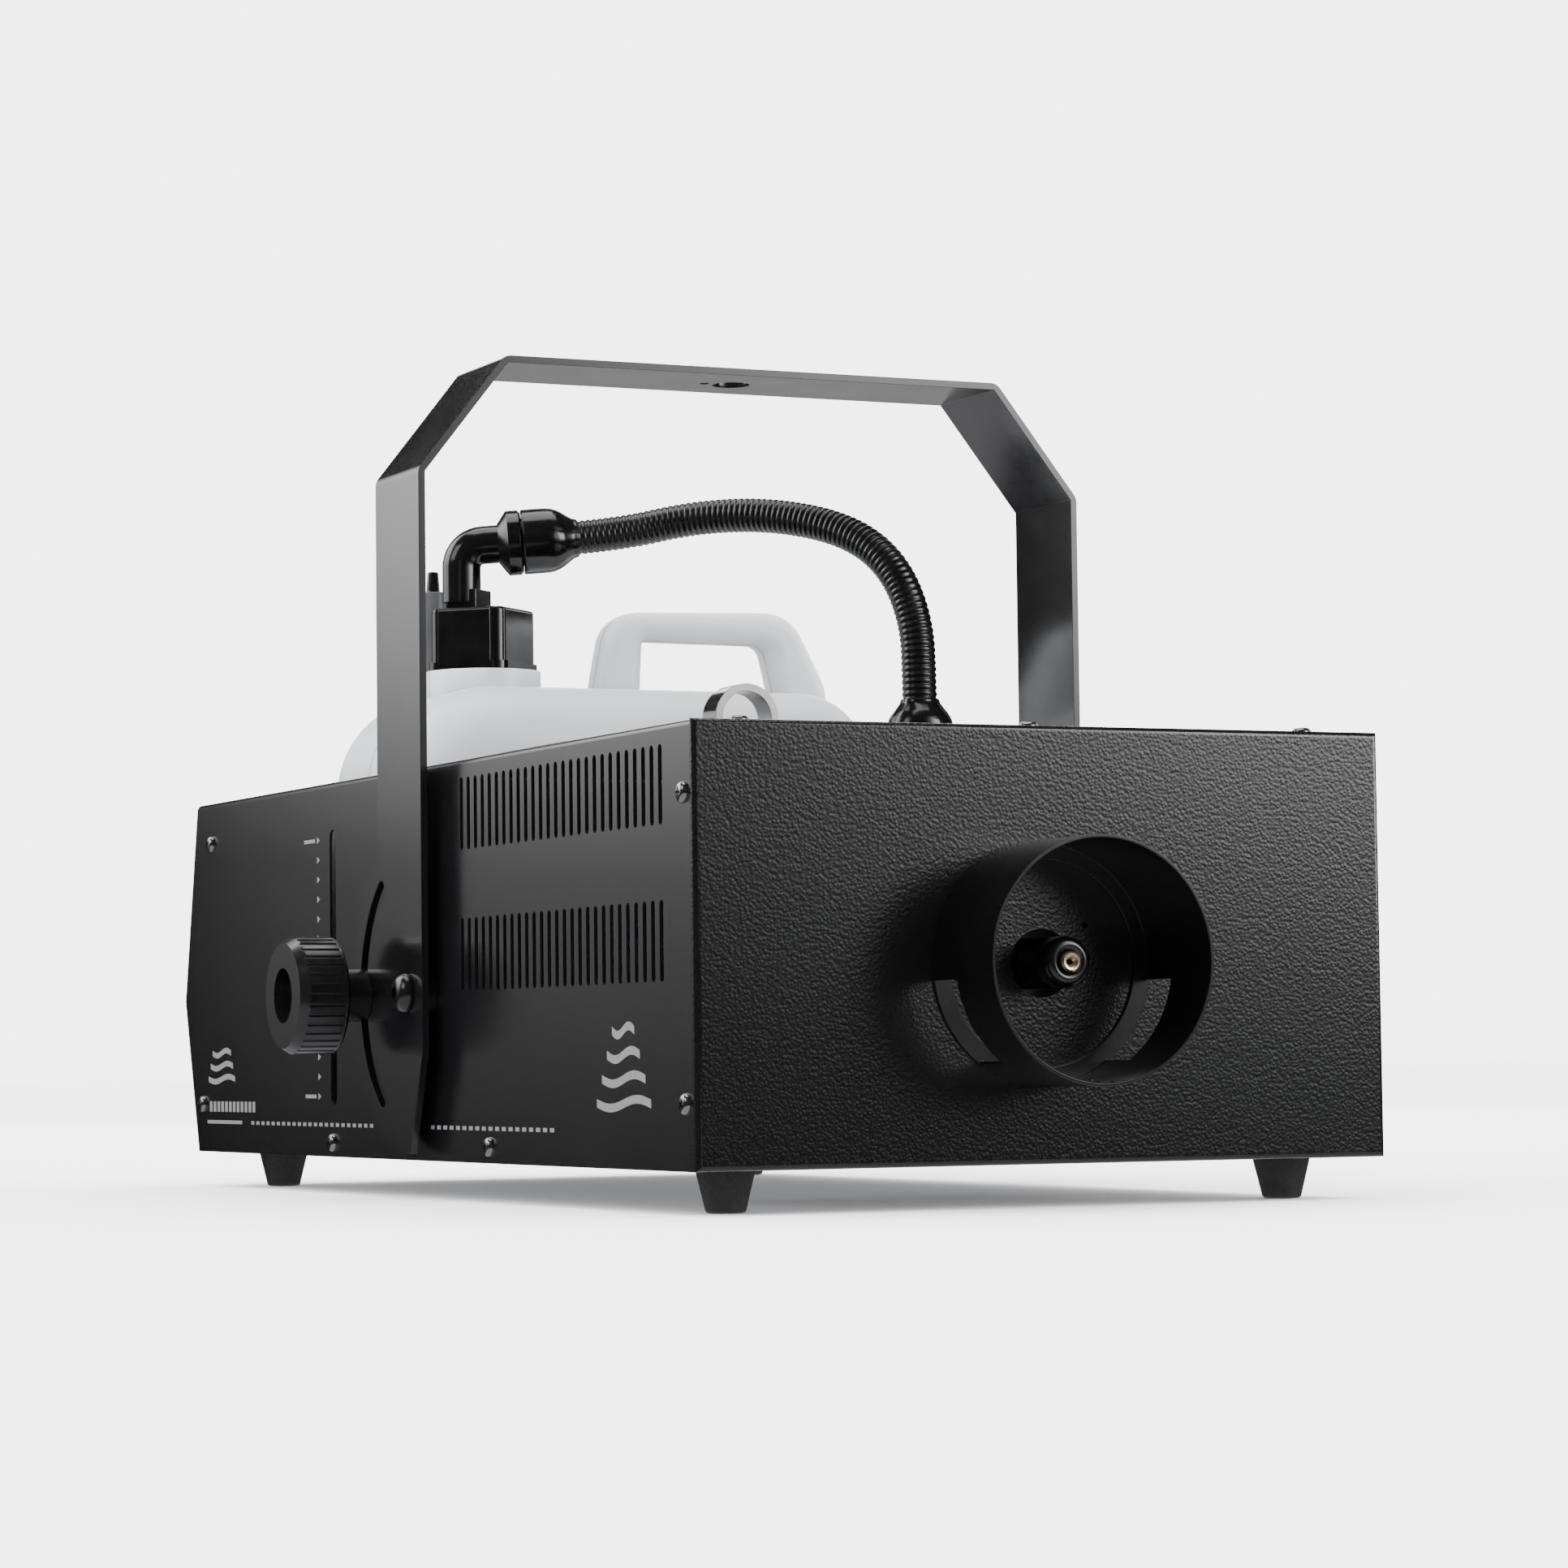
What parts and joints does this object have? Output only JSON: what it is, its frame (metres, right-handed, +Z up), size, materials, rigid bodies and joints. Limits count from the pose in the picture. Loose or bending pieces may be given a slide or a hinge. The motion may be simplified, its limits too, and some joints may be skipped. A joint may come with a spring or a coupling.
{
  "type": "fog machine",
  "caption": "Stage fog machine: steel case on rubber feet, round outlet duct, tilting yoke with clamp knobs, lift-out fluid tank and a hose from its cap to the pump.",
  "frame": {"origin": "on the floor, below the middle of the bounding box", "axes": "-Y is the way the fog leaves, +Y is the control panel side, +Z is up, +X is on the right seen from the outlet"},
  "size_m": [0.3772, 0.646, 0.3474],
  "materials": {
    "case_paint": "satin",
    "wrinkle_paint": "textured",
    "duct_paint": "satin",
    "yoke_paint": "satin",
    "zinc_sheet": "satin",
    "nickel": "polished",
    "black_steel": "satin",
    "brass": "satin",
    "cast_aluminium": "cast",
    "rubber": "matte",
    "black_nylon": "gloss",
    "hose_plastic": "gloss",
    "clear_tube": "translucent",
    "knob_plastic": "matte",
    "tank_plastic": "translucent",
    "filter_bronze": "matte",
    "board": "satin",
    "display_pane": "gloss",
    "socket_plastic": "matte",
    "button_plastic": "satin",
    "rocker_plastic": "gloss"
  },
  "bodies": {
    "housing": {"cover": "case_paint", "rear_panel": "case_paint", "front_panel": "wrinkle_paint", "outlet_duct": "duct_paint", "base_pan": "zinc_sheet", "bay_front_wall": "zinc_sheet", "bay_rear_wall": "zinc_sheet", "bay_side_wall": "zinc_sheet", "tank_shelf": "zinc_sheet", "heater_plate": "zinc_sheet", "heater_brackets": "zinc_sheet", "heat_shield": "zinc_sheet", "pump_bracket": "zinc_sheet", "heater_feed_pipe": "zinc_sheet", "cover_screws": "nickel", "foot_screws": "nickel", "safety_eye": "nickel", "inside_nuts": "nickel", "clamp_nuts": "nickel", "pump_body": "nickel", "pump_spring": "nickel", "thermostat": "nickel", "nozzle_sleeve": "black_steel", "pivot_bolts": "black_steel", "nozzle_tip": "brass", "heater_block": "cast_aluminium", "rubber_feet": "rubber", "tank_cap": "black_nylon", "elbow_body": "black_nylon", "elbow_nut": "black_nylon", "gland_body": "black_nylon", "gland_nut": "black_nylon", "yoke_spacers": "black_nylon", "tank_vent": "black_nylon", "feed_hose": "hose_plastic", "pump_inlet_tube": "clear_tube", "dip_tube": "clear_tube", "fluid_tank": "tank_plastic", "intake_filter": "filter_bronze", "control_board": "board", "power_board": "board", "display_window": "display_pane", "rocker_bezel": "socket_plastic", "power_inlet": "socket_plastic", "dmx_in_socket": "socket_plastic", "dmx_out_socket": "socket_plastic", "pump_coil": "socket_plastic", "thermal_fuse": "socket_plastic"},
    "yoke": {"yoke": "yoke_paint"},
    "left_knob": {"left_knob": "knob_plastic", "left_knob_stud": "black_steel"},
    "right_knob": {"right_knob": "knob_plastic", "right_knob_stud": "black_steel"},
    "power_rocker": {"power_rocker": "rocker_plastic"},
    "fuse_drawer": {"fuse_drawer": "socket_plastic"},
    "pump_plunger": {"pump_plunger": "nickel"},
    "menu_button_1": {"menu_button_1": "button_plastic"},
    "menu_button_2": {"menu_button_2": "button_plastic"},
    "menu_button_3": {"menu_button_3": "button_plastic"},
    "menu_button_4": {"menu_button_4": "button_plastic"}
  },
  "joints": [
    {"name": "yoke_tilt", "type": "hinge", "parent": "housing", "child": "yoke", "pos_m": [0, -0.004, 0.0845], "axis": [1, 0, 0], "range_deg": [-54, 54]},
    {"name": "left_knob_turn", "type": "hinge", "parent": "housing", "child": "left_knob", "pos_m": [-0.17, 0.049, 0.0845], "axis": [-1, 0, 0], "continuous": true},
    {"name": "right_knob_turn", "type": "hinge", "parent": "housing", "child": "right_knob", "pos_m": [0.17, 0.049, 0.0845], "axis": [1, 0, 0], "continuous": true},
    {"name": "power_rocker_tilt", "type": "hinge", "parent": "housing", "child": "power_rocker", "pos_m": [0.07, 0.31043, 0.05282], "axis": [1, 0, 0], "range_deg": [0, 18]},
    {"name": "fuse_drawer_slide", "type": "slide", "parent": "housing", "child": "fuse_drawer", "axis": [0, 0.9617, -0.274], "range_m": [0, 0.022]},
    {"name": "pump_plunger_stroke", "type": "slide", "parent": "housing", "child": "pump_plunger", "axis": [0, 1, 0], "range_m": [-0.0015, 0.0015], "stiffness_N_per_m": 800},
    {"name": "menu_button_1_press", "type": "slide", "parent": "housing", "child": "menu_button_1", "axis": [0, -0.9773, -0.2118], "range_m": [0, 0.0008], "stiffness_N_per_m": 400},
    {"name": "menu_button_2_press", "type": "slide", "parent": "housing", "child": "menu_button_2", "axis": [0, -0.9773, -0.2118], "range_m": [0, 0.0008], "stiffness_N_per_m": 400},
    {"name": "menu_button_3_press", "type": "slide", "parent": "housing", "child": "menu_button_3", "axis": [0, -0.9773, -0.2118], "range_m": [0, 0.0008], "stiffness_N_per_m": 400},
    {"name": "menu_button_4_press", "type": "slide", "parent": "housing", "child": "menu_button_4", "axis": [0, -0.9773, -0.2118], "range_m": [0, 0.0008], "stiffness_N_per_m": 400}
  ]
}
